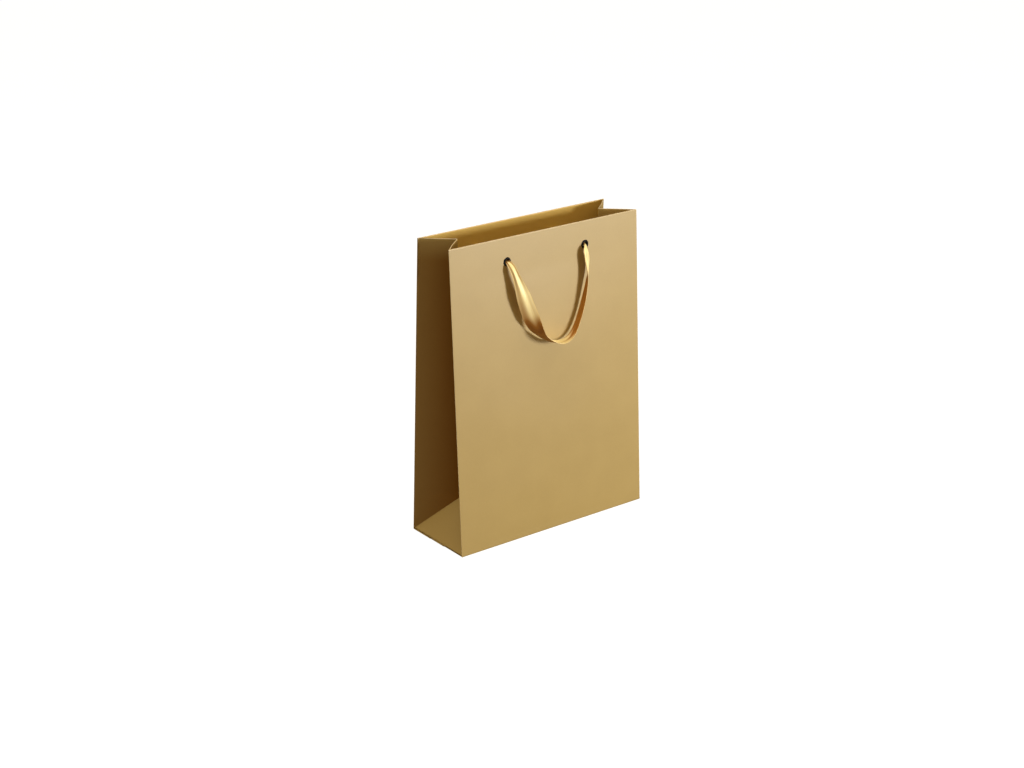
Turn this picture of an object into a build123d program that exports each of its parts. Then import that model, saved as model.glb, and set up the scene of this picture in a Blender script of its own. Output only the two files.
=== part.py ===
from build123d import *
import math
import os

# Gift bag of folded card with ribbon handles, in millimetres.
# Origin: centre of the base on its underside. +Z up. The front panel faces -Y.
# The card is one folded and glued sheet in the real bag. It is divided at its creases here, because
# the regions between the creases turn against each other when the bag is folded flat.

# Driving dimensions
WIDTH = 240.0  # across the front panel
PANEL_LENGTH = 324.0  # base crease to rim, measured up the leaning panel
BASE_DEPTH = 87.0
MOUTH_DEPTH = 53.0
GUSSET_INSET_AT_RIM = 28.6  # how far the side creases push in at the mouth
TIP_INSET = 31.0  # and at the tip of the triangular foot, where they start
TIP_Z = 44.0  # height of that tip
SHEET = 0.35  # card thickness
GLUE_GAP = 0.02  # between layers that are glued together
FOLD_GAP = 0.25  # between regions that meet at a crease

HEM_HEIGHT = 40.0  # rim turned in over the rim board
RIM_BOARD_HEIGHT = 36.0
RIM_BOARD_THICKNESS = 0.8
RIM_MARGIN = 2.5  # the boards and hems stop this far short of the side creases
SEAM_FLAP_WIDTH = 18.0

BASE_BOARD_THICKNESS = 1.2
BASE_BOARD_MARGIN = 3.0
BOTTOM_OVERLAP = 12.0  # the two bottom flaps pass the middle of the base by this much
TUCK_END = 16.0  # half the width of a tucked flap at its free end

FRONT_LIP = 5.0  # height of the front crease above the floor, so that the flat bag clears its base
SIDE_LIP = 2.3
CORNER_CLEARANCE = 2.0  # the gusset corners stop this far above the side lips
FOOT_CLEARANCE = 1.4  # the gusset foot's ends stop this far inside the walls
TIP_CLEARANCE = 0.8  # the foot and the corners stop this far short of the foot's tip
BACK_LIP = 3.3
BACK_CREASE = 50.0  # the back panel folds here, measured up the panel from the base

EYELET_SPACING = 99.5
EYELET_DROP = 24.6  # below the rim
EYELET_BORE_RADIUS = 2.5
EYELET_BARREL_RADIUS = 2.95
EYELET_FLANGE_RADIUS = 4.6
EYELET_FLANGE_HEIGHT = 0.8
EYELET_CURL_RADIUS = 3.9
EYELET_CURL_HEIGHT = 0.5
WASHER_RADIUS = 5.2
WASHER_THICKNESS = 0.3
HOLE_CLEARANCE = 0.05
DRILL_DEPTH = 6.0  # more than the thickness of the wall at the rim

RIBBON_DROP = 92.0  # eyelet to the lowest point of the hanging loop
RIBBON_BOW = 12.0  # how far the loop's lowest point stands off the panel
RIBBON_START = 3.0  # how far the loop's top ends stand off the panel
RIBBON_THICKNESS = 2.6  # gathered ribbon
RIBBON_FACE_WIDTH = 9.0  # gathered ribbon, seen from the front
SHEET_STEPS = 4  # points that shape the loop's side view
NECK_RADIUS = 2.2
NECK_REACH = 1.2  # the gathered neck ends this far in front of the panel
KNOT_WIDTH = 13.0
KNOT_HEIGHT = 10.0
KNOT_THICKNESS = 4.0
KNOT_ROUNDING = 1.6
TAIL_WIDTH = 9.0
TAIL_LENGTH = 24.0
TAIL_THICKNESS = 0.6

# Derived places
HALF_WIDTH = WIDTH / 2
HALF_BASE = BASE_DEPTH / 2
LEAN = math.asin((BASE_DEPTH - MOUTH_DEPTH) / 2 / PANEL_LENGTH)
RIM_Z = PANEL_LENGTH * math.cos(LEAN)
EYELET_UP = PANEL_LENGTH - EYELET_DROP
RIM_STACK = SHEET + RIM_BOARD_THICKNESS + SHEET + 3 * GLUE_GAP  # panel, board and hem

# Frame of the front panel: x across, y up the panel, z outward from its outer face
FRONT = Plane(
    origin=(0, -HALF_BASE, 0),
    x_dir=(1, 0, 0),
    z_dir=(0, -math.cos(LEAN), math.sin(LEAN)),
)


def half_depth(z):
    """Distance from the middle plane to the outer face of the front or back panel at height z."""
    return HALF_BASE - z * math.tan(LEAN)


def block(x_span, y_span, z_span):
    """A box between the given limits."""
    size = [high - low for low, high in (x_span, y_span, z_span)]
    centre = [(high + low) / 2 for low, high in (x_span, y_span, z_span)]
    return Pos(*centre) * Box(*size)


def panel_layer(x_span, up_span, depth, thickness):
    """A layer of the front wall, starting at the given depth behind its outer face."""
    return FRONT.location * block(x_span, up_span, (-depth - thickness, -depth))


def at_eyelet(side, shape):
    """Puts a shape made round the local z axis at the left (-1) or right (+1) eyelet."""
    return FRONT.location * (Pos(side * EYELET_SPACING / 2, EYELET_UP, 0) * shape)


def pierced(layer):
    """The layer with its two eyelet holes."""
    for side in (-1, 1):
        hole = Cylinder(EYELET_BARREL_RADIUS + HOLE_CLEARANCE, DRILL_DEPTH)
        layer = layer - at_eyelet(side, hole)
    return layer


def to_back(shape):
    """The same piece on the back of the bag."""
    return mirror(shape, about=Plane.XZ)


def to_right(shape):
    """The same piece on the right of the bag."""
    return mirror(shape, about=Plane.YZ)


def thin_plate(corners, inside):
    """A flat piece of card whose outer face has these corners, thickened towards the inside point."""
    outline = Face(Wire.make_polygon([Vector(*corner) for corner in corners], close=True))
    normal = outline.normal_at()
    if normal.dot(Vector(*inside) - outline.center()) < 0:
        normal = -normal
    return Solid.extrude(outline, normal * SHEET)


# --- Front and back walls -------------------------------------------------------------------------


def front_panel():
    return pierced(panel_layer((-HALF_WIDTH, HALF_WIDTH), (FRONT_LIP, PANEL_LENGTH), 0, SHEET))


def back_panel():
    layer = panel_layer((-HALF_WIDTH, HALF_WIDTH), (BACK_CREASE, PANEL_LENGTH), 0, SHEET)
    return to_back(pierced(layer))


def back_fold_strip():
    top = BACK_CREASE - FOLD_GAP
    return to_back(panel_layer((-HALF_WIDTH, HALF_WIDTH), (BACK_LIP, top), 0, SHEET))


def rim_board():
    reach = HALF_WIDTH - RIM_MARGIN
    up_span = (PANEL_LENGTH - RIM_BOARD_HEIGHT, PANEL_LENGTH - SHEET)
    depth = SHEET + GLUE_GAP
    return pierced(panel_layer((-reach, reach), up_span, depth, RIM_BOARD_THICKNESS))


def rim_hem():
    reach = HALF_WIDTH - RIM_MARGIN
    up_span = (PANEL_LENGTH - HEM_HEIGHT, PANEL_LENGTH)
    depth = SHEET + 2 * GLUE_GAP + RIM_BOARD_THICKNESS
    return pierced(panel_layer((-reach, reach), up_span, depth, SHEET))


# --- Side gussets ---------------------------------------------------------------------------------


def web_section(z, inset):
    """Level slice through the front half of the left gusset: from the front panel to the side crease."""
    wall = half_depth(z) - SHEET / math.cos(LEAN)
    run = Vector(inset, wall)
    along = run.normalized()
    inward = Vector(along.Y, -along.X)
    start = Vector(-HALF_WIDTH, -wall) + along * (2 * SHEET)
    end = Vector(-HALF_WIDTH + inset, 0) - along * FOLD_GAP
    corners = [start, end, end + inward * SHEET, start + inward * SHEET]
    return Face(Wire.make_polygon([Vector(p.X, p.Y, z) for p in corners], close=True))


def gusset_web():
    """Front half of the left gusset above the foot's tip: it twists as the wall leans in."""
    rim = web_section(RIM_Z, GUSSET_INSET_AT_RIM)
    return loft([web_section(TIP_Z, TIP_INSET), rim], ruled=True)


def gusset_corner(top):
    """Flat triangle below the front half web, between the wall's edge and the foot's slanting edge."""
    low_z = SIDE_LIP + CORNER_CLEARANCE
    wall = half_depth(low_z) - 2 * SHEET
    low = (-HALF_WIDTH + SHEET, -wall, low_z)
    high_wall = half_depth(TIP_Z) - 2 * SHEET
    high = (-HALF_WIDTH + SHEET, -high_wall, top)
    tip = (-HALF_WIDTH + TIP_INSET, -TIP_CLEARANCE, top)
    return thin_plate([low, high, tip], inside=(0, -wall, TIP_Z))


def gusset_foot():
    """Triangle standing on the left edge of the base and tilted in, inside the two gusset corners."""
    start = HALF_BASE - SIDE_LIP - FOOT_CLEARANCE
    low_inset = TIP_INSET * SIDE_LIP / TIP_Z + SHEET
    corners = [
        (-HALF_WIDTH + low_inset, -start, SIDE_LIP),
        (-HALF_WIDTH + low_inset, start, SIDE_LIP),
        (-HALF_WIDTH + TIP_INSET + SHEET, 0, TIP_Z - TIP_CLEARANCE),
    ]
    return thin_plate(corners, inside=(0, 0, SIDE_LIP))


def seam_flap():
    """Glue flap of the side seam, inside the back panel's left edge."""
    start = -HALF_WIDTH + 3 * SHEET
    top = PANEL_LENGTH - HEM_HEIGHT - FOLD_GAP
    span = (BACK_CREASE + FOLD_GAP, top)
    return to_back(panel_layer((start, start + SEAM_FLAP_WIDTH), span, SHEET + GLUE_GAP, SHEET))


# --- Base -----------------------------------------------------------------------------------------


def bottom_front_flap():
    """Outermost bottom flap, with the lip that stands up to the front crease."""
    reach = HALF_WIDTH
    floor = block((-reach, reach), (-HALF_BASE, BOTTOM_OVERLAP), (0, SHEET))
    lip = panel_layer((-reach, reach), (0, FRONT_LIP), 0, SHEET)
    return floor + lip


def bottom_back_flap():
    """Bottom flap from the back: it steps up over the front flap, where the two are glued."""
    reach = HALF_WIDTH
    step = BOTTOM_OVERLAP + FOLD_GAP
    raised = SHEET + GLUE_GAP
    floor = block((-reach, reach), (step, HALF_BASE), (0, SHEET))
    riser = block((-reach, reach), (step, step + SHEET), (0, raised + SHEET))
    upper = block((-reach, reach), (-BOTTOM_OVERLAP, step + SHEET), (raised, raised + SHEET))
    lip = to_back(panel_layer((-reach, reach), (0, BACK_LIP - GLUE_GAP), 0, SHEET))
    return floor + riser + upper + lip


def bottom_tuck():
    """Left end flap, tucked in above the two bottom flaps, with 45 degree ends and a low lip."""
    low = 2 * (SHEET + GLUE_GAP)
    start = HALF_BASE - 2 * SHEET
    outline = Polyline(
        (-HALF_WIDTH, -start),
        (-HALF_WIDTH, start),
        (-HALF_WIDTH + HALF_BASE, TUCK_END),
        (-HALF_WIDTH + HALF_BASE, -TUCK_END),
        close=True,
    )
    floor = extrude(Pos(0, 0, low) * make_face(outline), amount=SHEET)
    lip = block((-HALF_WIDTH, -HALF_WIDTH + SHEET), (-start, start), (low, SIDE_LIP - GLUE_GAP))
    return floor + lip


def base_board():
    low = 3 * (SHEET + GLUE_GAP)
    reach = HALF_WIDTH - BASE_BOARD_MARGIN
    half = HALF_BASE - BASE_BOARD_MARGIN
    return block((-reach, reach), (-half, half), (low, low + BASE_BOARD_THICKNESS))


# --- Eyelets --------------------------------------------------------------------------------------


def eyelet():
    """Flanged tube: rounded flange outside, barrel through the wall, rim curled over the washer."""
    inner = RIM_STACK + WASHER_THICKNESS + GLUE_GAP
    barrel = Polyline(
        (EYELET_BORE_RADIUS, -inner - EYELET_CURL_HEIGHT / 2),
        (EYELET_BORE_RADIUS, EYELET_FLANGE_HEIGHT / 2),
    )
    crown = ThreePointArc(
        (EYELET_BORE_RADIUS, EYELET_FLANGE_HEIGHT / 2),
        ((EYELET_BORE_RADIUS + EYELET_FLANGE_RADIUS) / 2, EYELET_FLANGE_HEIGHT),
        (EYELET_FLANGE_RADIUS, GLUE_GAP),
    )
    back = Polyline(
        (EYELET_FLANGE_RADIUS, GLUE_GAP),
        (EYELET_BARREL_RADIUS, GLUE_GAP),
        (EYELET_BARREL_RADIUS, -inner),
        (EYELET_CURL_RADIUS, -inner),
    )
    curl = ThreePointArc(
        (EYELET_CURL_RADIUS, -inner),
        ((EYELET_BORE_RADIUS + EYELET_CURL_RADIUS) / 2, -inner - EYELET_CURL_HEIGHT),
        (EYELET_BORE_RADIUS, -inner - EYELET_CURL_HEIGHT / 2),
    )
    profile = make_face(Plane.XZ * (barrel + crown + back + curl))
    return revolve(profile, axis=Axis.Z)


def washer():
    depth = RIM_STACK + GLUE_GAP / 2
    ring = Cylinder(WASHER_RADIUS, WASHER_THICKNESS) - Cylinder(
        EYELET_BARREL_RADIUS + HOLE_CLEARANCE, WASHER_THICKNESS
    )
    return Pos(0, 0, -depth - WASHER_THICKNESS / 2) * ring


# --- Ribbon ---------------------------------------------------------------------------------------


def ribbon_knot():
    """Gathered neck through the eyelet, the knot behind the washer and the cut tail below it."""
    knot_depth = RIM_STACK + WASHER_THICKNESS + EYELET_CURL_HEIGHT + 4 * GLUE_GAP
    neck_length = knot_depth + NECK_REACH + KNOT_THICKNESS / 2
    neck = Pos(0, 0, NECK_REACH - neck_length / 2) * Cylinder(NECK_RADIUS, neck_length)
    outline = Ellipse(KNOT_WIDTH / 2, KNOT_HEIGHT / 2)
    knot = extrude(Pos(0, 0, -knot_depth) * outline, amount=-KNOT_THICKNESS)
    knot = fillet(knot.edges(), KNOT_ROUNDING)
    tail_depth = knot_depth + KNOT_THICKNESS / 2
    tail = block(
        (-TAIL_WIDTH / 2, TAIL_WIDTH / 2),
        (-KNOT_HEIGHT / 2 - TAIL_LENGTH, 0),
        (-tail_depth - TAIL_THICKNESS / 2, -tail_depth + TAIL_THICKNESS / 2),
    )
    return neck + knot + tail


def hanging_u(half_spacing, drop):
    """Region inside a hanging U as seen from the front: the lower half of an ellipse."""
    below = Pos(0, -drop / 2, 0) * Rectangle(2 * half_spacing, drop)
    return Ellipse(half_spacing, drop) & below


def stand_off(below):
    """How far the middle of the hanging ribbon stands off the panel, this far below the eyelet."""
    return RIBBON_START + (RIBBON_BOW - RIBBON_START) * (below / RIBBON_DROP) ** 2


def ribbon_loop():
    """Hanging loop: the U seen from the front, cut from a sheet that bows away from the panel."""
    half = RIBBON_FACE_WIDTH / 2
    outer = hanging_u(EYELET_SPACING / 2 + half, RIBBON_DROP + half)
    inner = hanging_u(EYELET_SPACING / 2 - half, RIBBON_DROP - half)
    band = extrude(outer - inner, amount=2 * RIBBON_BOW)
    # side view of the sheet: z outward from the panel, y up the panel
    levels = [RIBBON_DROP * step / SHEET_STEPS for step in range(SHEET_STEPS)]
    levels += [RIBBON_DROP, RIBBON_DROP + RIBBON_FACE_WIDTH]
    middle = Spline([Vector(0, -below, stand_off(below)) for below in levels])
    near = middle.moved(Location((0, 0, -RIBBON_THICKNESS / 2)))
    far = middle.moved(Location((0, 0, RIBBON_THICKNESS / 2)))
    top = Edge.make_line(near @ 0, far @ 0)
    bottom = Edge.make_line(near @ 1, far @ 1)
    side_view = Face(Wire([near, bottom, far, top]))
    reach = EYELET_SPACING / 2 + RIBBON_FACE_WIDTH
    sheet = Solid.extrude(Pos(-reach, 0, 0) * side_view, Vector(2 * reach, 0, 0))
    return FRONT.location * (Pos(0, EYELET_UP, 0) * (band & sheet))


# --- Writing the parts ----------------------------------------------------------------------------


def build_parts():
    front_board = rim_board()
    front_hem = rim_hem()
    loop = ribbon_loop()
    web = gusset_web()
    foot = gusset_foot()
    tuck = bottom_tuck()
    front_web = web + gusset_corner(TIP_Z + FOLD_GAP)
    back_web = to_back(web)
    back_corner = to_back(gusset_corner(TIP_Z - FOLD_GAP))
    parts = {
        "front_panel": front_panel(),
        "front_rim_board": front_board,
        "front_rim_hem": front_hem,
        "back_panel": back_panel(),
        "back_rim_board": to_back(front_board),
        "back_rim_hem": to_back(front_hem),
        "back_fold_strip": back_fold_strip(),
        "side_seam_flap": seam_flap(),
        "left_gusset_front_web": front_web,
        "left_gusset_back_web": back_web,
        "left_gusset_back_corner": back_corner,
        "left_gusset_foot": foot,
        "right_gusset_front_web": to_right(front_web),
        "right_gusset_back_web": to_right(back_web),
        "right_gusset_back_corner": to_right(back_corner),
        "right_gusset_foot": to_right(foot),
        "bottom_front_flap": bottom_front_flap(),
        "bottom_back_flap": bottom_back_flap(),
        "bottom_left_tuck": tuck,
        "bottom_right_tuck": to_right(tuck),
        "base_board": base_board(),
        "front_ribbon_loop": loop,
        "back_ribbon_loop": to_back(loop),
    }
    for side, side_name in ((-1, "left"), (1, "right")):
        hardware = {
            "eyelet": at_eyelet(side, eyelet()),
            "eyelet_washer": at_eyelet(side, washer()),
            "ribbon_knot": at_eyelet(side, ribbon_knot()),
        }
        for name, shape in hardware.items():
            parts[f"front_{side_name}_{name}"] = shape
            parts[f"back_{side_name}_{name}"] = to_back(shape)
    return parts


os.makedirs("parts", exist_ok=True)
for node, shape in build_parts().items():
    export_step(shape, f"parts/{node}.step")
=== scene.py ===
import bmesh
import bpy
import math
import numpy as np
from mathutils import Matrix, Vector, noise


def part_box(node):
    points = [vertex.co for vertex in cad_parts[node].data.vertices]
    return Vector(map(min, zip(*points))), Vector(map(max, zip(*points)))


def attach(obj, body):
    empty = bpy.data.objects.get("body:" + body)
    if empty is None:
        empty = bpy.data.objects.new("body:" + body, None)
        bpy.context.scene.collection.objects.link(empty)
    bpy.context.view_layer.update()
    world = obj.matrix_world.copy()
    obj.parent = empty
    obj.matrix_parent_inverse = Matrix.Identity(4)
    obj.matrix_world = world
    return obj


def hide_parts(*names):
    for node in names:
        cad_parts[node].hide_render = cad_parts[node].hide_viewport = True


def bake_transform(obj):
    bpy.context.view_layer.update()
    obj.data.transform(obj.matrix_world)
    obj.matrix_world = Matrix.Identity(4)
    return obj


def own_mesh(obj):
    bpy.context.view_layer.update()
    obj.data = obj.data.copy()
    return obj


# Gift bag of satin gold card with two ribbon handles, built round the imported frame. Metres, +Z up.
# The front panel faces -Y. The card pieces are patches of one outline, which is worked out at each
# height, so they meet without steps where the bag folds.

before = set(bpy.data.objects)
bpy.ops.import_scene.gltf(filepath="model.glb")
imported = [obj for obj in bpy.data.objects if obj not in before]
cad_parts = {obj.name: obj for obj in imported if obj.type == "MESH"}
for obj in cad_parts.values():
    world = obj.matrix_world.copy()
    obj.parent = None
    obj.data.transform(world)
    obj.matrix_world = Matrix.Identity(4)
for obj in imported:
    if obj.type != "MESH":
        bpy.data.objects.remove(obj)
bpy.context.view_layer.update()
MM = 0.001

# --- Sizes from the frame -------------------------------------------------------------------------

flap_low, flap_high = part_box("bottom_front_flap")
panel_low, panel_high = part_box("front_panel")

SHEET = 0.35 * MM  # card thickness
GLUE_GAP = 0.02 * MM  # between flaps that are glued together
HALF_WIDTH = panel_high.x
HALF_BASE = -flap_low.y
RIM_Z = panel_high.z
HALF_MOUTH = SHEET - panel_high.y
LEAN = math.atan2(HALF_BASE - HALF_MOUTH, RIM_Z)
FOLD_GAP = 0.25 * MM  # between CAD regions that meet at a crease
web_points = [v.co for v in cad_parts["left_gusset_front_web"].data.vertices]
INSET_AT_RIM = max(point.x for point in web_points if point.z > RIM_Z - MM) + HALF_WIDTH
TIP_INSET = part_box("left_gusset_foot")[1].x + HALF_WIDTH - 2 * SHEET
TIP_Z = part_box("left_gusset_back_corner")[1].z + FOLD_GAP
BACK_CREASE_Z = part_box("back_panel")[0].z
HEM_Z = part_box("front_rim_hem")[0].z
FRONT_HINGE_Z = flap_high.z
BACK_HINGE_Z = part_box("back_fold_strip")[0].z
FOOT_HINGE_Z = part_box("left_gusset_foot")[0].z

eyelet_low, eyelet_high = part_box("front_right_eyelet")
EYELET_X = (eyelet_low.x + eyelet_high.x) / 2
EYELET_Z = (eyelet_low.z + eyelet_high.z) / 2
EYELET_UP = EYELET_Z / math.cos(LEAN)
HOLE_RADIUS = 3.0 * MM

WALL_STACK = 1.56 * MM  # panel, rim board and hem
GUSSET_STACK = 0.8 * MM  # gusset and hem, with no board between them
FLAP_LAP = 0.37 * MM  # the seam flap lies this far inside the back panel's face
FLAP_WIDTH = 18 * MM
CREASE_RADIUS = 0.7 * MM
CREASE_HALF_WIDTH = 0.4 * MM  # rounding of the side crease
RIM_ROUNDING = 0.45 * MM
WALL_BOW = 0.7 * MM  # empty card is never quite flat
GUSSET_BOW = 0.5 * MM
PAINTED_SHADE_AT_CORNER = 0.5  # share of the painted gusset shade at the bag's upright corners, all of it in the fold
RIM_GLOW_HEIGHT = 22 * MM  # the painted gusset shade fades out over this height below the rim, where light from the mouth would reach
TRAY_Z = 2.0 * MM  # height of the fixed lips round the base
SIDE_TRAY_Z = 1.4 * MM
FRONT_SEAM_Z = 2 * FRONT_HINGE_Z - TRAY_Z  # the front hinge strip ends here

CELL = 6 * MM  # spacing of the card meshes
BEND_CELL = {"front": 0.6 * MM, "back": 0.5 * MM, "foot": 0.4 * MM}  # where the card bends
EDGE_SUPPORT = 0.3 * MM  # narrow cells beside each rounding keep the faces between them flat
ARC_STEPS = 4
WELD_DISTANCE = 0.02 * MM
CARD_SMOOTH_ANGLE = 35

FACING = {"front": -1, "back": 1}
SIDE_SIGN = {"left": -1, "right": 1}


def half_depth(z):
    """Middle plane to the outer face of the front or back panel at height z."""
    return HALF_BASE - z * math.tan(LEAN)


def front_point(x, up, out):
    """A point given in the front panel's own frame: across, up the panel, out from its face."""
    y = -HALF_BASE + up * math.sin(LEAN) - out * math.cos(LEAN)
    return Vector((x, y, up * math.cos(LEAN) + out * math.sin(LEAN)))


# --- Outline of the card at one height ------------------------------------------------------------
# Clockwise seen from above, from the back panel's raw left edge round to the end of the seam flap.

RUNS = [
    "back",
    "right_back_web",
    "right_tip",
    "right_front_web",
    "front",
    "left_front_web",
    "left_tip",
    "left_back_web",
    "seam_flap",
]
RUN_CELLS = {"back": 40, "front": 40, "right_tip": 8, "left_tip": 8, "seam_flap": 4}
WEB_CELLS = 12
NEARLY_STRAIGHT = 0.02  # sine of the turn below which a corner counts as straight
RIPPLES = (4, 5)  # soft waves across and up a panel
STACKS = [
    WALL_STACK if run in ("back", "front", "seam_flap") else GUSSET_STACK for run in RUNS
]


def side_crease(z):
    """How far in from the side, and how far from the middle plane, the crease beside the foot lies."""
    if z < TIP_Z:
        share = z / TIP_Z
        return TIP_INSET * share, max(CREASE_HALF_WIDTH, HALF_BASE * (1 - share))
    share = (z - TIP_Z) / (RIM_Z - TIP_Z)
    return TIP_INSET + (INSET_AT_RIM - TIP_INSET) * share, CREASE_HALF_WIDTH


def outline_corners(z):
    """Corners of the outer face at height z, with the creases not yet rounded."""
    depth = half_depth(z)
    inset, half_foot = side_crease(z)
    lap = depth - FLAP_LAP
    return np.array(
        [
            (-HALF_WIDTH, depth),
            (HALF_WIDTH, depth),
            (HALF_WIDTH - inset, half_foot),
            (HALF_WIDTH - inset, -half_foot),
            (HALF_WIDTH, -depth),
            (-HALF_WIDTH, -depth),
            (-HALF_WIDTH + inset, -half_foot),
            (-HALF_WIDTH + inset, half_foot),
            (-HALF_WIDTH, lap),
            (-HALF_WIDTH + FLAP_WIDTH, lap),
        ]
    )


def inward_normals(corners):
    """Unit vectors from each run into the bag."""
    along = np.diff(corners, axis=0)
    along /= np.linalg.norm(along, axis=1)[:, None]
    return np.stack([along[:, 1], -along[:, 0]], axis=1)


def offset_corners(corners, depths):
    """The outline moved into the bag by one depth for each run."""
    normals = inward_normals(corners)
    moved = corners.copy()
    moved[0] += normals[0] * depths[0]
    moved[-1] += normals[-1] * depths[-1]
    for index in range(1, len(corners) - 1):
        sides = normals[index - 1 : index + 1]
        if abs(np.linalg.det(sides)) < NEARLY_STRAIGHT:
            moved[index] += normals[index] * depths[index]
        else:
            moved[index] += np.linalg.solve(sides, depths[index - 1 : index + 1])
    return moved


def slack(run, share, z):
    """How far the card bows outward between its creases. The back panel stays flat where the fold
    strip lies against it in the flat bag, and the gussets bow most near the rim."""
    if run in ("front", "back"):
        low = FRONT_SEAM_Z if run == "front" else 2 * BACK_CREASE_Z
        high = HEM_Z
        bow = WALL_BOW
    elif run.endswith("web"):
        low = TIP_Z
        high = RIM_Z + HEM_Z - TIP_Z
        bow = GUSSET_BOW
    else:
        return np.zeros_like(share)
    if z <= low or z >= high:
        return np.zeros_like(share)
    level = (z - low) / (high - low)
    window = math.sin(math.pi * level) ** 0.7
    across, up = RIPPLES
    waves = [noise.noise(Vector((across * s, up * level, 3.7 * len(run)))) for s in share]
    return np.sin(math.pi * share) * window * bow * (1 + 0.5 * np.array(waves))


def outline_spans(z, depths=None):
    """Points of every run and of every rounded corner between two runs."""
    corners = outline_corners(z)
    if depths is not None:
        corners = offset_corners(corners, depths)
    normals = inward_normals(corners)
    lengths = np.linalg.norm(np.diff(corners, axis=0), axis=1)
    directions = np.diff(corners, axis=0) / lengths[:, None]
    radii = [0.0]
    for index in range(1, len(corners) - 1):
        radii.append(min(CREASE_RADIUS, 0.4 * lengths[index - 1], 0.4 * lengths[index]))
    radii.append(0.0)
    spans = []
    for index, run in enumerate(RUNS):
        start = corners[index] + directions[index] * radii[index]
        end = corners[index + 1] - directions[index] * radii[index + 1]
        cells = RUN_CELLS.get(run, WEB_CELLS)
        share = np.linspace(0, 1, cells + 1)
        edge = EDGE_SUPPORT / np.linalg.norm(end - start)
        share = np.r_[0, min(edge, 0.3 / cells), share[1:-1], 1 - min(edge, 0.3 / cells), 1]
        points = start + (end - start) * share[:, None]
        points -= normals[index] * slack(run, share, z)[:, None]
        if spans:
            corner = corners[index]
            before = spans[-1][-1]
            t = (np.arange(1, ARC_STEPS) / ARC_STEPS)[:, None]
            spans.append((1 - t) ** 2 * before + 2 * t * (1 - t) * corner + t**2 * start)
        spans.append(points)
    return spans


def span_of(run):
    """Place of a run among the spans, where every second span is a rounded corner."""
    return 2 * RUNS.index(run)


def card_row(z, first, last, depths=None, outline_z=None):
    """Points of the card's outer face at height z, from one span to another. Depths move the runs
    into the bag, and outline_z takes the outline from another height."""
    spans = outline_spans(z if outline_z is None else outline_z, depths)
    points = list(spans[first : last + 1])
    if first % 2 == 1:
        points.insert(0, spans[first - 1][-1:])
    if last % 2 == 1:
        points.append(spans[last + 1][:1])
    flat = np.concatenate(points)
    return np.column_stack([flat, np.full(len(flat), z)])


def levels(low, high, step=CELL):
    """Evenly spaced heights from low to high, no further apart than one step."""
    return np.linspace(low, high, max(2, math.ceil((high - low) / step) + 1))


# --- Meshes ---------------------------------------------------------------------------------------


def grid_faces(rows, columns, start=0):
    """Four-sided faces over a grid of vertices that are numbered row by row."""
    faces = []
    for row in range(rows - 1):
        for column in range(columns - 1):
            corner = start + row * columns + column
            faces.append((corner, corner + columns, corner + columns + 1, corner + 1))
    return faces


def new_object(name, vertices, faces):
    """A mesh object in the scene, made of these vertices and faces."""
    mesh = bpy.data.meshes.new(name)
    mesh.from_pydata([tuple(v) for v in vertices], [], faces)
    mesh.validate()
    piece = bpy.data.objects.new(name, mesh)
    bpy.context.scene.collection.objects.link(piece)
    return piece


def apply_modifiers(piece):
    """Gives the piece its evaluated mesh, and leaves no modifier on it."""
    depsgraph = bpy.context.evaluated_depsgraph_get()
    evaluated = piece.evaluated_get(depsgraph)
    mesh = bpy.data.meshes.new_from_object(evaluated)
    piece.modifiers.clear()
    old = piece.data
    piece.data = mesh
    bpy.data.meshes.remove(old)
    mesh.name = piece.name


def smooth(piece, angle):
    """Smooth shading, broken where neighbouring faces meet at more than this many degrees."""
    piece.data.shade_smooth()
    piece.data.set_sharp_from_angle(angle=math.radians(angle))


def store_rest_place(piece):
    """Keeps each vertex's place at rest, so that the material doesn't swim when the piece bends."""
    attribute = piece.data.attributes.new("rest_place", "FLOAT_VECTOR", "POINT")
    places = np.array([v.co for v in piece.data.vertices], np.float32)
    attribute.data.foreach_set("vector", places.ravel())


def store_painted_edge_highlight(piece):
    """Marks the rim and the upright corner creases for a painted highlight: a paler tone where the
    rounded folds would catch light.
    """
    places = np.array([v.co for v in piece.data.vertices])
    depth = HALF_BASE - places[:, 2] * math.tan(LEAN)
    from_corner = np.hypot(np.abs(places[:, 0]) - HALF_WIDTH, np.abs(places[:, 1]) - depth)
    painted_edge_highlight = np.maximum(1 - from_corner / CREASE_RADIUS, 1 - (RIM_Z - places[:, 2]) / RIM_ROUNDING)
    attribute = piece.data.attributes.new("painted_edge_highlight", "FLOAT", "POINT")
    attribute.data.foreach_set("value", np.clip(painted_edge_highlight, 0, 1).astype(np.float32))


def store_painted_shade(piece, open_face):
    """Marks how deep a point lies in the folded gussets, for painted shade: a deeper brown and less
    sheen where the fold would lie in shadow.
    """
    places = np.array([v.co for v in piece.data.vertices])
    depth = HALF_BASE - places[:, 2] * math.tan(LEAN)
    sunk = np.clip((depth - np.abs(places[:, 1])) / depth, 0, 1)
    painted_shade = PAINTED_SHADE_AT_CORNER + (1 - PAINTED_SHADE_AT_CORNER) * sunk
    painted_shade *= sunk > 0.4 * MM / HALF_BASE  # the walls' outer faces have none of it
    near_rim = np.clip((places[:, 2] - RIM_Z + RIM_GLOW_HEIGHT) / RIM_GLOW_HEIGHT, 0, 1)
    painted_shade *= 1 - near_rim
    if open_face:
        painted_shade *= 0
    attribute = piece.data.attributes.new("painted_shade", "FLOAT", "POINT")
    attribute.data.foreach_set("value", painted_shade.astype(np.float32))


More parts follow.
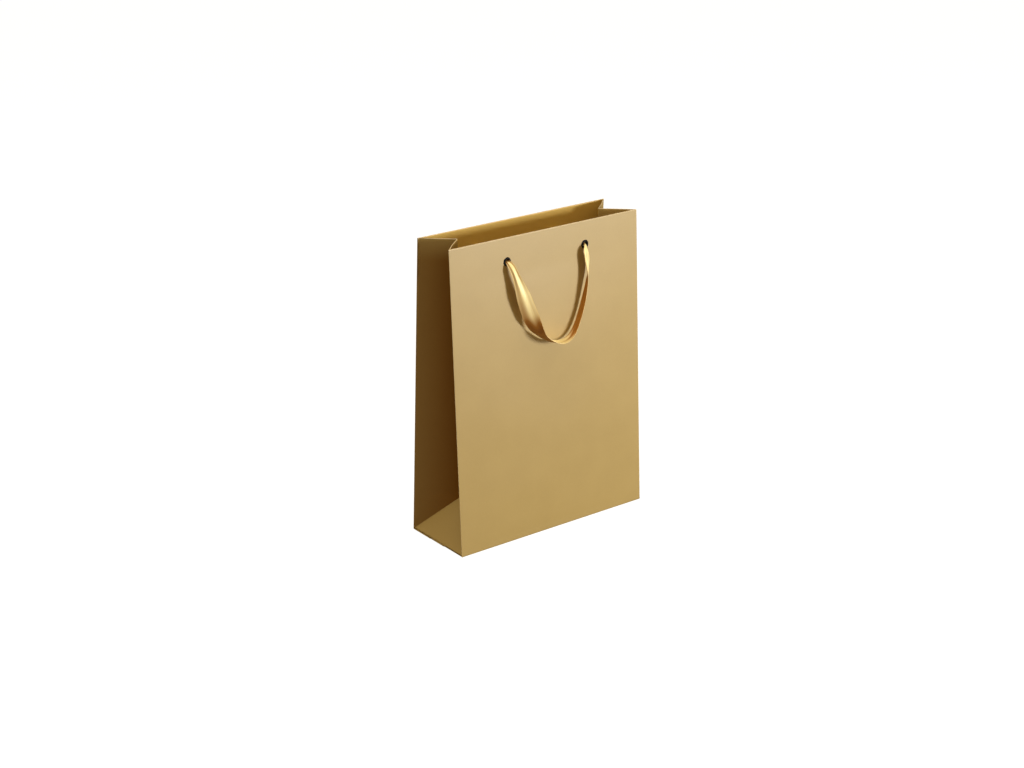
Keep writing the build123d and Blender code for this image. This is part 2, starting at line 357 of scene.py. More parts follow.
def store_inside(piece):
    """Marks the inner faces of the two walls for a painted lighter tone that stands in for light
    bounced between the gold faces.
    """
    centres = np.array([face.center for face in piece.data.polygons])
    normals = np.array([face.normal for face in piece.data.polygons])
    inside = (np.sign(centres[:, 1]) * normals[:, 1] < -0.5) & (np.abs(normals[:, 0]) < 0.3)
    inside &= np.abs(centres[:, 0]) < HALF_WIDTH - CELL
    attribute = piece.data.attributes.new("inside", "FLOAT", "FACE")
    attribute.data.foreach_set("value", inside.astype(np.float32))


def sheet_piece(name, patches, cutters=(), open_face=False):
    """A sheet of card from grids of points on its outer face, thickened into the bag."""
    vertices = []
    faces = []
    for rows in patches:
        faces += grid_faces(len(rows), len(rows[0]), start=len(vertices))
        for row in rows:
            vertices += [tuple(point) for point in row]
    piece = new_object(name, vertices, faces)
    weld = piece.modifiers.new("weld", "WELD")
    weld.merge_threshold = WELD_DISTANCE
    solid = piece.modifiers.new("thickness", "SOLIDIFY")
    solid.thickness = SHEET
    solid.offset = -1
    for cutter in cutters:
        hole = piece.modifiers.new("hole", "BOOLEAN")
        hole.operation = "DIFFERENCE"
        hole.solver = "EXACT"
        hole.object = cutter
    apply_modifiers(piece)
    piece.data.materials.append(card_material)
    smooth(piece, CARD_SMOOTH_ANGLE)
    store_rest_place(piece)
    store_painted_edge_highlight(piece)
    store_painted_shade(piece, open_face)
    store_inside(piece)
    return piece


HOLE_STEPS = 40
CUTTER_ENDS = (-4 * MM, 2 * MM)  # behind the wall's outer face and in front of it


def hole_cutter(side, facing):
    """Cylinder through the wall at one eyelet."""
    vertices = []
    for out in CUTTER_ENDS:
        for step in range(HOLE_STEPS):
            angle = 2 * math.pi * step / HOLE_STEPS
            point = front_point(
                side * EYELET_X + HOLE_RADIUS * math.cos(angle),
                EYELET_UP + HOLE_RADIUS * math.sin(angle),
                out,
            )
            vertices.append((point.x, -facing * point.y, point.z))
    faces = [tuple(range(HOLE_STEPS)), tuple(range(2 * HOLE_STEPS - 1, HOLE_STEPS - 1, -1))]
    for step in range(HOLE_STEPS):
        following = (step + 1) % HOLE_STEPS
        faces.append((step, step + HOLE_STEPS, following + HOLE_STEPS, following))
    cutter = new_object("cutter", vertices, faces)
    recalculate_normals(cutter)
    return cutter


def recalculate_normals(piece):
    """Turns all faces of a closed piece outward."""
    mesh = bmesh.new()
    mesh.from_mesh(piece.data)
    bmesh.ops.recalc_face_normals(mesh, faces=mesh.faces)
    mesh.to_mesh(piece.data)
    mesh.free()


# --- Materials ------------------------------------------------------------------------------------


def srgb(red, green, blue):
    """Linear colour from 0 to 255 display values."""
    values = [channel / 255 for channel in (red, green, blue)]
    linear = [v / 12.92 if v <= 0.04045 else ((v + 0.055) / 1.055) ** 2.4 for v in values]
    return (*linear, 1.0)


class Nodes:
    """Small helper for writing the nodes of a material or of the surroundings."""

    def __init__(self, owner):
        owner.use_nodes = True
        self.owner = owner
        self.tree = owner.node_tree
        self.shader = self.tree.nodes.get("Principled BSDF")

    def add(self, kind, inputs=None, **settings):
        node = self.tree.nodes.new(kind)
        for key, value in settings.items():
            setattr(node, key, value)
        for key, value in (inputs or {}).items():
            self.put(node, key, value)
        return node

    def put(self, node, key, value):
        if isinstance(value, bpy.types.NodeSocket):
            self.tree.links.new(value, node.inputs[key])
        else:
            node.inputs[key].default_value = value

    def set(self, **values):
        for key, value in values.items():
            self.put(self.shader, key.replace("_", " "), value)

    def stored(self, name):
        """A value stored on the mesh."""
        return self.add("ShaderNodeAttribute", attribute_name=name).outputs["Fac"]

    def rest_place(self):
        return self.add("ShaderNodeAttribute", attribute_name="rest_place").outputs["Vector"]

    def object_place(self):
        return self.add("ShaderNodeTexCoord").outputs["Object"]

    def noise(self, place, scale, detail=3.0, roughness=0.5):
        inputs = {"Vector": place, "Scale": scale, "Detail": detail, "Roughness": roughness}
        return self.add("ShaderNodeTexNoise", inputs).outputs["Fac"]

    def scaled(self, place, x, y, z):
        inputs = {"Vector": place, "Scale": (x, y, z)}
        return self.add("ShaderNodeMapping", inputs).outputs["Vector"]

    def ramp(self, factor, low, high, from_low=0.0, from_high=1.0):
        """Factor mapped from one range to another, with no overshoot."""
        inputs = {
            "Value": factor,
            "From Min": from_low,
            "From Max": from_high,
            "To Min": low,
            "To Max": high,
        }
        return self.add("ShaderNodeMapRange", inputs).outputs["Result"]

    def mix(self, factor, first, second):
        node = self.add("ShaderNodeMix", data_type="RGBA")
        self.put(node, 0, factor)
        self.put(node, 6, first)
        self.put(node, 7, second)
        return node.outputs[2]

    def switch(self, choice, first, second):
        """One of two shaders: the first where the choice is 0, the second where it is 1."""
        node = self.add("ShaderNodeMixShader")
        self.put(node, 0, choice)
        self.put(node, 1, first)
        self.put(node, 2, second)
        return node.outputs[0]

    def math(self, operation, first, second=0.0):
        node = self.add("ShaderNodeMath", operation=operation)
        self.put(node, 0, first)
        self.put(node, 1, second)
        return node.outputs[0]

    def bump(self, height, strength, distance, normal=None):
        inputs = {"Height": height, "Strength": strength, "Distance": distance}
        if normal is not None:
            inputs["Normal"] = normal
        return self.add("ShaderNodeBump", inputs).outputs["Normal"]


def gold_card_material():
    """Satin laminated card: gold over faint fibres. Painted shade makes it deeper brown and less
    glossy in the folded gussets, a painted lighter tone stands in for bounce light on the walls' inner
    faces, and a painted highlight runs pale along the rim and upright creases.
    """
    n = Nodes(bpy.data.materials.new("gold_card"))
    place = n.rest_place()
    mottle = n.noise(place, 28, detail=4)
    fibre = n.noise(n.scaled(place, 1.0, 1.0, 0.35), 1500, detail=2)
    grain = n.noise(place, 4200, detail=1)
    tone = n.mix(n.ramp(mottle, 0, 1, 0.3, 0.7), srgb(174, 148, 82), srgb(178, 152, 86))
    tone = n.mix(n.ramp(fibre, 0, 0.10, 0.35, 0.75), tone, srgb(205, 176, 112))
    # Painted shade: the folded gussets are mixed toward a deep brown.
    painted_shade = n.stored("painted_shade")
    tone = n.mix(painted_shade, tone, srgb(132, 86, 8))
    # Painted bounce light: the walls' inner faces are mixed toward a lighter gold.
    inside = n.stored("inside")
    tone = n.mix(inside, tone, srgb(238, 204, 108))
    # Painted highlight: a pale tone along the rim and upright creases, broken up by noise.
    painted_edge_highlight = n.stored("painted_edge_highlight")
    painted_edge_highlight = n.math("MULTIPLY", painted_edge_highlight, n.ramp(n.noise(place, 260), 0.35, 0.9, 0.3, 0.6))
    tone = n.mix(painted_edge_highlight, tone, srgb(228, 210, 172))
    bump = n.bump(fibre, 0.12, 0.05 * MM)
    bump = n.bump(grain, 0.10, 0.02 * MM, bump)
    n.set(
        Base_Color=tone,
        Roughness=n.ramp(n.noise(place, 90), 0.41, 0.47),
        Normal=bump,
        Metallic=0.0,
        # Painted shade also lowers the sheen and coat in the folded gussets.
        Specular_IOR_Level=n.ramp(painted_shade, 0.6, 0.15),
        Coat_Weight=n.ramp(painted_shade, 0.3, 0.0),
        Coat_Roughness=0.40,
    )
    return n.owner


def grey_board_material():
    """Grey recycled board: pressed fibres with darker and lighter flecks."""
    n = Nodes(bpy.data.materials.new("grey_board"))
    place = n.object_place()
    fibre = n.noise(n.scaled(place, 1.0, 0.3, 1.0), 900, detail=5, roughness=0.65)
    fleck = n.noise(place, 420, detail=2)
    tone = n.mix(n.ramp(fibre, 0, 1, 0.3, 0.7), srgb(128, 122, 112), srgb(168, 161, 148))
    tone = n.mix(n.ramp(fleck, 0, 0.6, 0.62, 0.72), tone, srgb(92, 86, 78))
    tone = n.mix(n.ramp(n.noise(place, 60), 0, 0.3), tone, srgb(150, 140, 122))
    bump = n.bump(fibre, 0.5, 0.12 * MM)
    n.set(Base_Color=tone, Roughness=n.ramp(fleck, 0.82, 0.96), Normal=bump)
    return n.owner


def black_metal_material():
    """Black enamelled eyelet: glossy, with faint orange peel and thin wear on its crown."""
    n = Nodes(bpy.data.materials.new("black_metal"))
    place = n.object_place()
    peel = n.noise(place, 1400, detail=2)
    wear = n.noise(place, 2600, detail=4)
    tone = n.mix(n.ramp(wear, 0, 0.5, 0.66, 0.78), srgb(7, 7, 7), srgb(46, 43, 40))
    n.set(
        Base_Color=tone,
        Roughness=n.ramp(peel, 0.42, 0.56),
        Normal=n.bump(peel, 0.15, 0.04 * MM),
        Specular_IOR_Level=0.12,
    )
    return n.owner


LIT_SIDE = (0.70, -0.55, 0.45)  # painted shade: the ribbon's colour turns from cream to brown as its face turns away from this side, roughly where the lights are


def gold_ribbon_material():
    """Satin ribbon: fine cross weave, bright streaks along it and a firmer woven edge, with painted
    shade turning it brown where it faces away from the lit side.
    """
    n = Nodes(bpy.data.materials.new("gold_satin_ribbon"))
    strand = n.add("ShaderNodeAttribute", attribute_name="strand").outputs["Vector"]
    parts = n.add("ShaderNodeSeparateXYZ", {"Vector": strand})
    along = parts.outputs["X"]
    across = parts.outputs["Y"]
    streak = n.noise(n.scaled(strand, 60, 900, 1), 1.0, detail=3)
    weft = n.math("SINE", n.math("MULTIPLY", along, 2 * math.pi / (0.42 * MM)))
    warp = n.math("SINE", n.math("MULTIPLY", across, 2 * math.pi / (0.30 * MM)))
    edge = n.ramp(n.math("ABSOLUTE", across), 0, 1, 8.0 * MM, 8.5 * MM)
    tone = n.mix(n.ramp(streak, 0, 1, 0.3, 0.7), srgb(246, 226, 160), srgb(254, 240, 190))
    # Painted shade: faces turned away from LIT_SIDE are mixed toward brown.
    facing = n.add("ShaderNodeVectorMath", operation="DOT_PRODUCT")
    n.put(facing, 0, n.add("ShaderNodeNewGeometry").outputs["Normal"])
    n.put(facing, 1, LIT_SIDE)
    tone = n.mix(n.ramp(facing.outputs["Value"], 1, 0, -0.15, 0.42), tone, srgb(172, 112, 34))
    tone = n.mix(n.math("MULTIPLY", edge, 0.35), tone, srgb(214, 170, 92))
    weave = n.math("ADD", n.math("MULTIPLY", weft, 0.6), n.math("MULTIPLY", warp, 0.4))
    bump = n.bump(weave, 0.18, 0.04 * MM)
    bump = n.bump(streak, 0.15, 0.10 * MM, bump)
    n.set(
        Base_Color=tone,
        Metallic=0.15,
        Roughness=n.ramp(streak, 0.46, 0.56),
        Anisotropic=0.3,
        Normal=bump,
        Coat_Weight=0.4,
        Coat_Roughness=0.45,
        Coat_Tint=srgb(255, 250, 226),
    )
    return n.owner


card_material = gold_card_material()
board_material = grey_board_material()
metal_material = black_metal_material()
ribbon_material = gold_ribbon_material()


def repaint(node, material):
    """A carried-over CAD node gets its procedural material."""
    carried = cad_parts[node]
    carried.data.materials.clear()
    carried.data.materials.append(material)


# --- Card -----------------------------------------------------------------------------------------


def rim_fold_rows(first, last):
    """Rows over the rim and down its inside to the end of the hem."""
    profile = [(0.33, 0.08), (0.0, 0.3), (0.0, 0.7), (0.33, 0.92), (1.0, 1.0)]
    rows = [card_row(RIM_Z - RIM_ROUNDING, first, last)]
    for drop, share in profile:
        depths = [share * stack for stack in STACKS]
        rows.append(card_row(RIM_Z - drop * RIM_ROUNDING, first, last, depths, RIM_Z))
    for z in levels(RIM_Z - RIM_ROUNDING - EDGE_SUPPORT, HEM_Z):
        rows.append(card_row(z, first, last, STACKS))
    return rows


def build_card_wrap():
    """Front wall, both gussets and back wall with their hems: one sheet, as in the real bag."""
    front_only = (span_of("right_front_web"), span_of("left_front_web"))
    between = (span_of("right_back_web"), span_of("left_back_web"))
    whole = (0, span_of("seam_flap"))
    above_flap = (0, span_of("seam_flap") - 1)
    patches = [
        [card_row(z, *front_only) for z in levels(FRONT_SEAM_Z, TIP_Z)],
        [card_row(z, *between) for z in levels(TIP_Z, BACK_CREASE_Z)],
        [card_row(z, *whole) for z in levels(BACK_CREASE_Z, HEM_Z)],
        [card_row(z, *above_flap) for z in levels(HEM_Z, RIM_Z - RIM_ROUNDING - EDGE_SUPPORT)]
        + rim_fold_rows(*above_flap),
    ]
    cutters = [hole_cutter(side, facing) for side in (-1, 1) for facing in FACING.values()]
    wrap = sheet_piece("card_wrap", patches, cutters)
    for cutter in cutters:
        bpy.data.objects.remove(cutter)
    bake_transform(wrap)
    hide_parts("front_panel", "front_rim_hem", "back_panel", "back_rim_hem", "side_seam_flap")
    for side in ("left", "right"):
        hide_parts(f"{side}_gusset_front_web", f"{side}_gusset_back_web")


def build_front_hinge():
    """Lowest band of the front wall, which bends where the bag folds flat."""
    spans = (span_of("right_front_web"), span_of("left_front_web"))
    rows = [card_row(z, *spans) for z in levels(TRAY_Z, FRONT_SEAM_Z, BEND_CELL["front"])]
    piece = sheet_piece("front_hinge_card", [rows])
    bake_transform(piece)


def build_back_fold():
    """Lower part of the back wall, from the base to the crease where the bag folds."""
    spans = (span_of("back"), span_of("back") + 1)
    bend_end = 2 * BACK_HINGE_Z - TRAY_Z
    bend = levels(TRAY_Z, bend_end, BEND_CELL["back"])
    above = levels(bend_end, BACK_CREASE_Z)[1:]
    rows = [card_row(z, *spans) for z in (*bend, *above)]
    piece = sheet_piece("back_fold_card", [rows])
    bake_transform(piece)
    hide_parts("back_fold_strip")


def build_back_corner(side):
    """Triangle between the back wall and the gusset foot. It flattens against the fold."""
    run = f"{side}_back_web"
    first = span_of(run)
    last = first + 1 if side == "left" else first
    rows = [card_row(z, first, last) for z in levels(SIDE_TRAY_Z / 2, TIP_Z, 2 * CELL / 3)]
    piece = sheet_piece(f"{side}_back_corner_card", [rows])
    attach(piece, "back_fold")
    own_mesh(piece)
    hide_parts(f"{side}_gusset_back_corner")


def build_foot(side):
    """Triangle that stands on the side of the base and leans into the bag."""
    first = span_of(f"{side}_tip") - 1
    bend_end = 2 * FOOT_HINGE_Z - SIDE_TRAY_Z
    bend = levels(SIDE_TRAY_Z, bend_end, BEND_CELL["foot"])
    above = levels(bend_end, TIP_Z)[1:]
    rows = [card_row(z, first, first + 2) for z in (*bend, *above)]
    piece = sheet_piece(f"{side}_foot_card", [rows], open_face=True)
    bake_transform(piece)
    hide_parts(f"{side}_gusset_foot")


# --- Base -----------------------------------------------------------------------------------------

FLAP_OVERLAP = flap_high.y
BASE_ROUNDING = 0.8 * MM
LIP_PROFILE = [(1.0, 0.0), (0.4, 0.1), (0.1, 0.4), (0.0, 1.0)]  # height and depth, in roundings


def lip_rows(top, first, last, floor):
    """Rows of a lip standing on the base and rounding under it, from the lowest up."""
    rows = [card_row(top, first, last)]
    for height, inward in LIP_PROFILE:
        depths = [0 if run.endswith("web") else inward * BASE_ROUNDING for run in RUNS]
        z = floor + height * BASE_ROUNDING
        rows.append(card_row(z, first, last, depths, BASE_ROUNDING + floor))
    return rows[::-1]


def floor_rows(edge, stops):
    """Rows across the underside. Each stop is (share, y, z), and its row lies at height z, that
    share of the way from the edge to y."""
    rows = []
    for share, y, z in stops:
        row = edge.copy()
        row[:, 1] = edge[:, 1] + (y - edge[:, 1]) * share
        row[:, 2] = z
        rows.append(row)
    return rows


def build_bottom_front():
    """Outermost bottom flap, under the whole front half of the base."""
    front = span_of("front")
    lip = lip_rows(TRAY_Z, span_of("right_front_web"), span_of("left_front_web"), 0.0)
    crease = lip_rows(TRAY_Z, front, front, 0.0)[0]
    floor = floor_rows(crease, [(share, FLAP_OVERLAP, 0.0) for share in np.linspace(1, 0, 9)])
    piece = sheet_piece("bottom_front_card", [floor, lip], open_face=True)
    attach(piece, "base")
    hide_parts("bottom_front_flap")


STEP_GAP = 0.1 * MM  # the back flap steps down this far past the front flap's end,
STEP_RUN = 0.7 * MM  # over this distance


def build_bottom_back():
    """Bottom flap from the back. Its end steps up over the front flap, where the two are glued."""
    back = span_of("back")
    lip = lip_rows(TRAY_Z, back, back + 1, 0.0)
    crease = lip_rows(TRAY_Z, back, back, 0.0)[0]
    raised = SHEET + GLUE_GAP
    step_top = FLAP_OVERLAP + STEP_GAP
    lapped = [(1.0, y, raised) for y in (-FLAP_OVERLAP, 0.0, step_top)]
    lying = [(share, step_top + STEP_RUN, 0.0) for share in np.linspace(1, 0, 7)]
    floor = floor_rows(crease, lapped + lying)
    piece = sheet_piece("bottom_back_card", [floor, lip], open_face=True)
    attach(piece, "base")
    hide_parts("bottom_back_flap")


TUCK_END_HALF = 16 * MM


def build_tuck(side):
    """End flap of the base, tucked in above the two bottom flaps, with slanting ends."""
    first = span_of(f"{side}_tip")
    floor_z = 2 * (SHEET + GLUE_GAP)
    lip = lip_rows(SIDE_TRAY_Z + floor_z / 2, first, first, floor_z)
    low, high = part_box(f"bottom_{side}_tuck")
    end_x = low.x if side == "right" else high.x
    crease_half = np.abs(lip[0][:, 1]).max()
    rows = []
    for share in np.linspace(1, 0, 7)[:-1]:
        row = lip[0].copy()
        row[:, 0] += (end_x - lip[0][:, 0]) * share
        row[:, 1] *= 1 + (TUCK_END_HALF / crease_half - 1) * share
        rows.append(row)
    piece = sheet_piece(f"{side}_tuck_card", [rows + lip], open_face=True)
    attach(piece, "base")
    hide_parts(f"bottom_{side}_tuck")


# --- Ribbon handles -------------------------------------------------------------------------------
# Sizes in this section are in millimetres.

RIBBON_WIDTH = 18.0
RIBBON_THICKNESS = 0.3
RIBBON_STEPS = 260
RIBBON_COLUMNS = 25
PLEATS = 1.5
PLEAT_PHASE = 0.4
PLEAT_SHARE = 0.16  # the rest of the spare width is taken up by finer creasing
CUP = 0.9  # how far the open ribbon bulges outward across its width
SOFTEN_STEPS = 13
RIBBON_SMOOTH_ANGLE = 60
STRAIGHT_OUT = 0.25  # below this share of its length in the panel's plane, the ribbon points out
HALF_SPACING = EYELET_X / MM
# Along the ribbon from the left eyelet: across, below the eyelets, out from the panel, width, and
# the turn in degrees away from facing straight out.
RIBBON_STATIONS = [
    (-HALF_SPACING, 0.0, -3.5, 3.8, 0),
    (-HALF_SPACING, 0.0, 0.5, 4.0, 0),
    (-49.0, 3.0, 5.0, 7.5, 4),
    (-45.5, 14.5, 9.0, 8.0, 8),
    (-39.0, 35.5, 11.0, 15.0, 14),
    (-31.0, 58.0, 11.5, 16.5, 25),
    (-18.5, 80.5, 12.0, 15.0, 79),
    (3.0, 92.5, 11.0, 17.5, 90),
    (21.5, 91.0, 8.5, 9.5, 84),
    (32.0, 79.0, 7.0, 9.0, 81),
    (40.5, 59.5, 6.5, 8.5, 80),
    (46.5, 37.5, 6.5, 8.0, 64),
    (48.0, 15.0, 6.0, 9.0, 15),
    (47.5, 3.0, 4.5, 6.5, 5),
    (HALF_SPACING, 0.0, 0.5, 4.0, 0),
    (HALF_SPACING, 0.0, -3.5, 3.8, 0),
]


def natural_spline(knots, values, at):
    """Smooth curve through the values, with no bend at either end."""
    count = len(knots)
    gaps = np.diff(knots)
    system = np.eye(count)
    right = np.zeros((count, values.shape[1]))
    for i in range(1, count - 1):
        system[i, i - 1 : i + 2] = gaps[i - 1], 2 * (gaps[i - 1] + gaps[i]), gaps[i]
        slopes = np.diff(values[i - 1 : i + 2], axis=0) / gaps[i - 1 : i + 1, None]
        right[i] = 6 * (slopes[1] - slopes[0])
    bend = np.linalg.solve(system, right)
    index = np.clip(np.searchsorted(knots, at, side="right") - 1, 0, count - 2)
    gap = gaps[index][:, None]
    after = (at - knots[index])[:, None] / gap
    before = 1 - after
    curve = before * values[index] + after * values[index + 1]
    curve += (before**3 - before) * bend[index] * gap**2 / 6
    curve += (after**3 - after) * bend[index + 1] * gap**2 / 6
    return curve


def softened(values):
    """Moving average along the ribbon, with the ends held."""
    window = np.hanning(SOFTEN_STEPS)
    window /= window.sum()
    return np.convolve(np.pad(values, SOFTEN_STEPS // 2, "edge"), window, "valid")


def sign_of(values):
    """1 or -1 for each value, as a column."""
    return np.sign(values + 1e-9)[:, None]


def ribbon_directions(centre):
    """Two unit vectors square to the ribbon: away from the panel, and out of the ribbon's loop."""
    tangent = np.gradient(centre, axis=0)
    tangent /= np.linalg.norm(tangent, axis=1)[:, None]
    square = np.stack([-tangent[:, 1], tangent[:, 0], 0 * tangent[:, 0]], axis=1)
    outward = fill_unset(square, np.linalg.norm(square, axis=1) < STRAIGHT_OUT)
    facing = np.cross(tangent, outward)
    facing *= sign_of(facing[:, 2])
    facing /= np.linalg.norm(facing, axis=1)[:, None]
    outward = np.cross(facing, tangent)
    outward *= sign_of((outward * square).sum(1))
    return facing, outward


def ribbon_surface():
    """Rows of points along the ribbon in the panel's frame, with their place on the flat ribbon."""
    stations = np.array(RIBBON_STATIONS, float)
    middle = stations[:, :3]
    knots = np.r_[0, np.cumsum(np.linalg.norm(np.diff(middle, axis=0), axis=1))]
    at = np.linspace(0, knots[-1], RIBBON_STEPS)
    centre = natural_spline(knots, middle, at)
    width = softened(np.clip(np.interp(at, knots, stations[:, 3]), 0, RIBBON_WIDTH))
    turn = softened(np.radians(np.interp(at, knots, stations[:, 4])))
    facing, outward = ribbon_directions(centre)
    side = np.cos(turn)[:, None] * outward - np.sin(turn)[:, None] * facing
    normal = np.cos(turn)[:, None] * facing + np.sin(turn)[:, None] * outward
    share = np.linspace(-0.5, 0.5, RIBBON_COLUMNS)
    spare = np.sqrt(np.maximum(RIBBON_WIDTH**2 - width**2, 0))
    pleat = PLEAT_SHARE * spare / (4 * PLEATS)
    rows = []
    strand = []
    for i in range(RIBBON_STEPS):
        fold = pleat[i] * np.sin(2 * math.pi * PLEATS * share + PLEAT_PHASE)
        cup = CUP * (0.5 - 4 * share**2) * (width[i] / RIBBON_WIDTH) ** 2
        row = centre[i] + side[i] * (share * width[i])[:, None] + normal[i] * (fold + cup)[:, None]
        rows.append(row)
        strand += [(at[i] * MM, s * RIBBON_WIDTH * MM, 0.0) for s in share]
    return rows, strand


def fill_unset(vectors, unset):
    """Copies the nearest set vector into the unset ones."""
    known = np.flatnonzero(~unset)
    filled = vectors.copy()
    for index in np.flatnonzero(unset):
        filled[index] = vectors[known[np.abs(known - index).argmin()]]
    return filled / np.linalg.norm(filled, axis=1)[:, None]


def to_wall(point, facing, mirror_x=1):
    """Panel-frame millimetres (across, below the eyelets, out) to the front or back wall."""
    place = front_point(mirror_x * point[0] * MM, EYELET_UP - point[1] * MM, point[2] * MM)
    return (place.x, -facing * place.y, place.z)


def ribbon_piece(name, vertices, faces, strand, thickness):
    """Ribbon from one layer of faces. Strand holds each vertex's place on the flat ribbon."""
    piece = new_object(name, vertices, faces)
    attribute = piece.data.attributes.new("strand", "FLOAT_VECTOR", "POINT")
    attribute.data.foreach_set("vector", np.array(strand, np.float32).ravel())
    solid = piece.modifiers.new("thickness", "SOLIDIFY")
    solid.thickness = thickness * MM
    solid.offset = 0
    apply_modifiers(piece)
    piece.data.materials.append(ribbon_material)
    smooth(piece, RIBBON_SMOOTH_ANGLE)
    return piece


def build_handle(wall):
    """The ribbon outside one wall, from its left knot to its right knot."""
    facing = FACING[wall]
    rows, strand = ribbon_surface()
    vertices = [to_wall(point, facing, -facing) for row in rows for point in row]
    faces = grid_faces(RIBBON_STEPS, RIBBON_COLUMNS)
    piece = ribbon_piece(f"{wall}_ribbon", vertices, faces, strand, RIBBON_THICKNESS)
    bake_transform(piece)
    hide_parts(f"{wall}_ribbon_loop")


KNOT_DEPTH = 4.6  # middle of the knot, behind the wall's outer face
KNOT_DROP = 0.6
KNOT_HALF_SIZE = np.array([6.0, 4.8, 1.7])
KNOT_SHRINK = np.array([0.78, 0.78, 0.8])  # leaves room for the strand's own thickness
KNOT_STEPS = 120
GATHERED_THICKNESS = 0.25
STRAND_RADIUS = 1.7
STRAND_FLATNESS = 0.75
STRAND_PLEAT = 0.13
STRAND_SIDES = 18
STRAND_STEP = 0.6  # along the ribbon, from row to row
TAIL_START = 1.0
TAIL_LENGTH = 26.0
TAIL_NECK = 4.0
TAIL_SPREAD = 7.0
TAIL_NOTCH = 3.0
TAIL_BEHIND = 0.2
TAIL_STEPS = 26
TAIL_COLUMNS = 13


def knot_path():
    """Closed trefoil, squashed to the size of a tight overhand knot."""
    t = np.linspace(0, 2 * math.pi, KNOT_STEPS, endpoint=False)
    across = np.sin(t) + 2 * np.sin(2 * t)
    below = np.cos(t) - 2 * np.cos(2 * t)
    loop = np.stack([across, below, -np.sin(3 * t)], 1)
    return loop * (KNOT_HALF_SIZE / [3.0, 3.0, 1.0]) * KNOT_SHRINK


def tube(path):
    """Closed tube of gathered ribbon: its section is flattened, with shallow pleats."""
    steps = len(path)
    tangent = np.roll(path, -1, axis=0) - np.roll(path, 1, axis=0)
    tangent /= np.linalg.norm(tangent, axis=1)[:, None]
    up = np.cross(tangent, [0.0, 0.0, 1.0])
    up /= np.linalg.norm(up, axis=1)[:, None]
    over = np.cross(up, tangent)
    angle = np.linspace(0, 2 * math.pi, STRAND_SIDES + 1)
    rows = []
    for i in range(steps + 1):
        k = i % steps
        pleat = STRAND_PLEAT * np.sin(5 * angle + 6 * math.pi * k / steps)
        reach = STRAND_RADIUS * (1 + pleat)
        wide = up[k] * (reach * np.cos(angle))[:, None]
        thick = over[k] * (STRAND_FLATNESS * reach * np.sin(angle))[:, None]
        rows.append(path[k] + (wide + thick))
    return rows


def tail_rows():
    """Cut end of the ribbon hanging below the knot, inside the wall, with a notched end."""
    across = np.linspace(-0.5, 0.5, TAIL_COLUMNS)
    rows = []
    for share in np.linspace(0, 1, TAIL_STEPS):
        width = TAIL_NECK + TAIL_SPREAD * min(1.0, 1.6 * share)
        notch = TAIL_NOTCH * (1 - 2 * np.abs(across)) * share**6
        below = TAIL_START + share * TAIL_LENGTH - notch
        wave = 0.35 * np.sin(4.2 * share + 5 * across)
        fold = 0.7 * (1 - share) * np.sin(4 * math.pi * across)
        out = -(KNOT_DEPTH + TAIL_BEHIND) + wave + fold
        rows.append(np.stack([across * width, below, out], 1))
    return rows


def build_knot(wall, side):
    """Knot behind the washer with its cut tail."""
    facing = FACING[wall]
    eyelet = SIDE_SIGN[side] * HALF_SPACING
    patches = [
        [row + [eyelet, KNOT_DROP, -KNOT_DEPTH] for row in tube(knot_path())],
        [row + [eyelet, 0, 0] for row in tail_rows()],
    ]
    vertices = []
    faces = []
    strand = []
    for rows in patches:
        faces += grid_faces(len(rows), len(rows[0]), start=len(vertices))
        for i, row in enumerate(rows):
            vertices += [to_wall(point, facing) for point in row]
            share = np.linspace(-0.5, 0.5, len(row))
            strand += [(STRAND_STEP * i * MM, s * RIBBON_WIDTH * MM, 0.0) for s in share]
    piece = ribbon_piece(f"{wall}_{side}_knot", vertices, faces, strand, GATHERED_THICKNESS)
    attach(piece, f"{wall}_wall")
    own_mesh(piece)
    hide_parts(f"{wall}_{side}_ribbon_knot")


# --- Building -------------------------------------------------------------------------------------

build_card_wrap()
build_front_hinge()
build_back_fold()
build_bottom_front()
build_bottom_back()
for side in ("left", "right"):
    build_back_corner(side)
    build_foot(side)
    build_tuck(side)
for wall in ("front", "back"):
    build_handle(wall)
    repaint(f"{wall}_rim_board", board_material)
    for side in ("left", "right"):
        build_knot(wall, side)
        repaint(f"{wall}_{side}_eyelet", metal_material)
        repaint(f"{wall}_{side}_eyelet_washer", metal_material)
repaint("base_board", board_material)

# --- Stage, light and camera ----------------------------------------------------------------------

WHITE = (1, 1, 1, 1)
FLOOR_HALF = 30.0
FLOOR_GAP = 0.2 * MM  # keeps the floor clear of the bag's underside
FLOOR_TONE = (0.24, 0.235, 0.23, 1)
FLOOR_GLOW = 0.92
# The surroundings as a light: a dim warm horizon and a brighter, whiter ceiling.
SKY_LOW = 0.0
SKY_HIGH = 0.9
HORIZON_GLOW = (0.26, 0.16, 0.06, 1)
OVERHEAD_GLOW = (0.62, 0.50, 0.34, 1)
# Each lamp: place, width of its disk, power in watts and colour.
KEY_LIGHT = ((1.10, -1.91, 0.42), 0.50, 38, (1.0, 0.98, 0.94))
OVERHEAD_LIGHT = ((-0.3, -0.12, 2.0), 0.60, 14, (1.0, 0.96, 0.88))
CAMERA_PLACE = (-1.1403, -1.4689, 0.8653)
CAMERA_LOOK = Vector((0.5651, 0.7426, -0.3595))
CAMERA_UP = Vector((0.2177, 0.2861, 0.9332))
CAMERA_LENS = 66.98


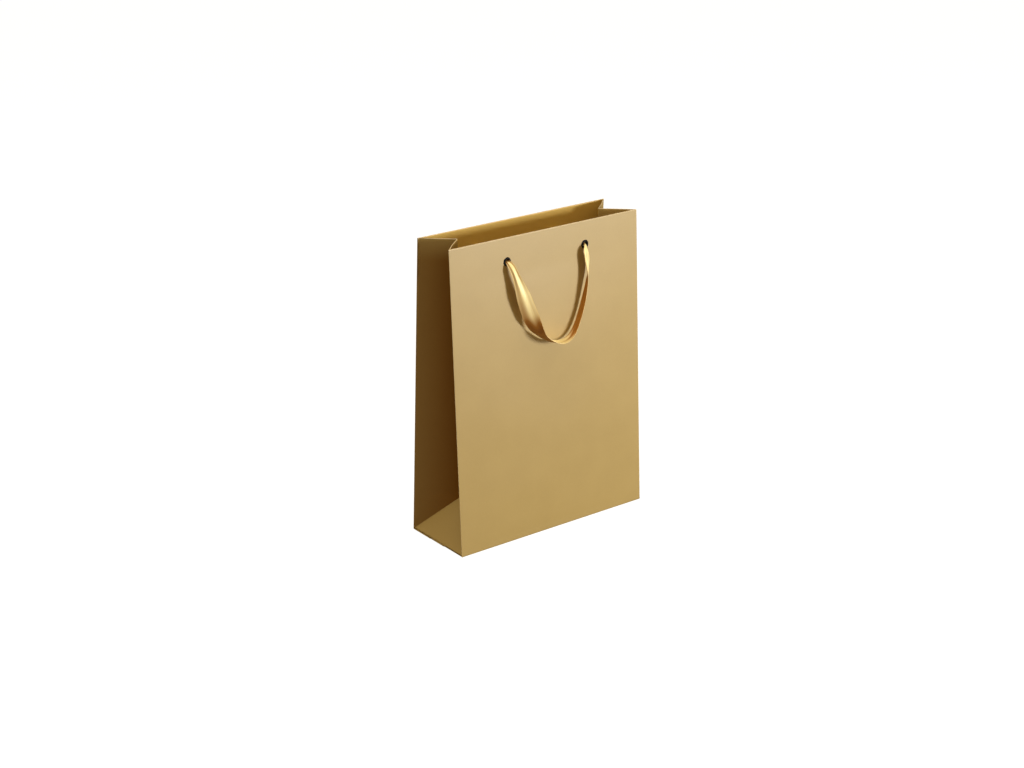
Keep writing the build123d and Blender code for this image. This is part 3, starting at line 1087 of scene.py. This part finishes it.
def add_floor():
    """Plain pale floor. It shows nearly white but throws little light back up at the bag."""
    signs = [(-1, -1), (1, -1), (1, 1), (-1, 1)]
    corners = [(x * FLOOR_HALF, y * FLOOR_HALF, -FLOOR_GAP) for x, y in signs]
    floor = new_object("floor", corners, [(0, 1, 2, 3)])
    n = Nodes(bpy.data.materials.new("pale_floor"))
    seen = n.add("ShaderNodeLightPath").outputs["Is Camera Ray"]
    glow = n.add("ShaderNodeEmission", {"Color": WHITE, "Strength": FLOOR_GLOW})
    n.set(Base_Color=FLOOR_TONE, Roughness=0.9, Specular_IOR_Level=0.0)
    both = n.add("ShaderNodeAddShader")
    n.put(both, 0, n.shader.outputs[0])
    n.put(both, 1, glow.outputs[0])
    shown = n.switch(seen, n.shader.outputs[0], both.outputs[0])
    n.put(n.tree.nodes["Material Output"], "Surface", shown)
    floor.data.materials.append(n.owner)


def add_area_light(name, place, size, power, colour):
    """Round lamp that points at the middle of the bag."""
    light = bpy.data.lights.new(name, "AREA")
    light.shape = "DISK"
    light.size = size
    light.energy = power
    light.color = colour
    lamp = bpy.data.objects.new(name, light)
    bpy.context.scene.collection.objects.link(lamp)
    lamp.location = place
    aim = Vector((0, 0, RIM_Z / 2)) - Vector(place)
    lamp.rotation_euler = aim.to_track_quat("-Z", "Y").to_euler()


def add_world():
    """White where the camera looks past the floor, dim and warm as a light."""
    world = bpy.data.worlds.new("studio")
    n = Nodes(world)
    direction = n.add("ShaderNodeTexCoord").outputs["Generated"]
    height = n.add("ShaderNodeSeparateXYZ", {"Vector": direction}).outputs["Z"]
    limits = {"Value": height, "From Min": SKY_LOW, "From Max": SKY_HIGH}
    rise = n.add("ShaderNodeMapRange", limits, interpolation_type="SMOOTHSTEP")
    tone = n.mix(rise.outputs["Result"], HORIZON_GLOW, OVERHEAD_GLOW)
    ambient = n.add("ShaderNodeBackground", {"Color": tone}).outputs[0]
    shown = n.add("ShaderNodeBackground", {"Color": WHITE}).outputs[0]
    seen = n.add("ShaderNodeLightPath").outputs["Is Camera Ray"]
    n.put(n.tree.nodes["World Output"], "Surface", n.switch(seen, ambient, shown))
    bpy.context.scene.world = world


def add_camera():
    """Camera that looks down at the bag from the front left."""
    camera = bpy.data.cameras.new("camera")
    camera.sensor_width = 36
    camera.lens = CAMERA_LENS
    camera.clip_end = 100
    holder = bpy.data.objects.new("camera", camera)
    bpy.context.scene.collection.objects.link(holder)
    holder.location = CAMERA_PLACE
    right = CAMERA_LOOK.cross(CAMERA_UP).normalized()
    up = right.cross(CAMERA_LOOK).normalized()
    turn = Matrix((right, up, -CAMERA_LOOK.normalized())).transposed()
    holder.rotation_euler = turn.to_euler()
    bpy.context.scene.camera = holder


add_floor()
add_world()
add_area_light("key", *KEY_LIGHT)
add_area_light("overhead", *OVERHEAD_LIGHT)
add_camera()
bpy.context.scene.view_settings.view_transform = "Standard"
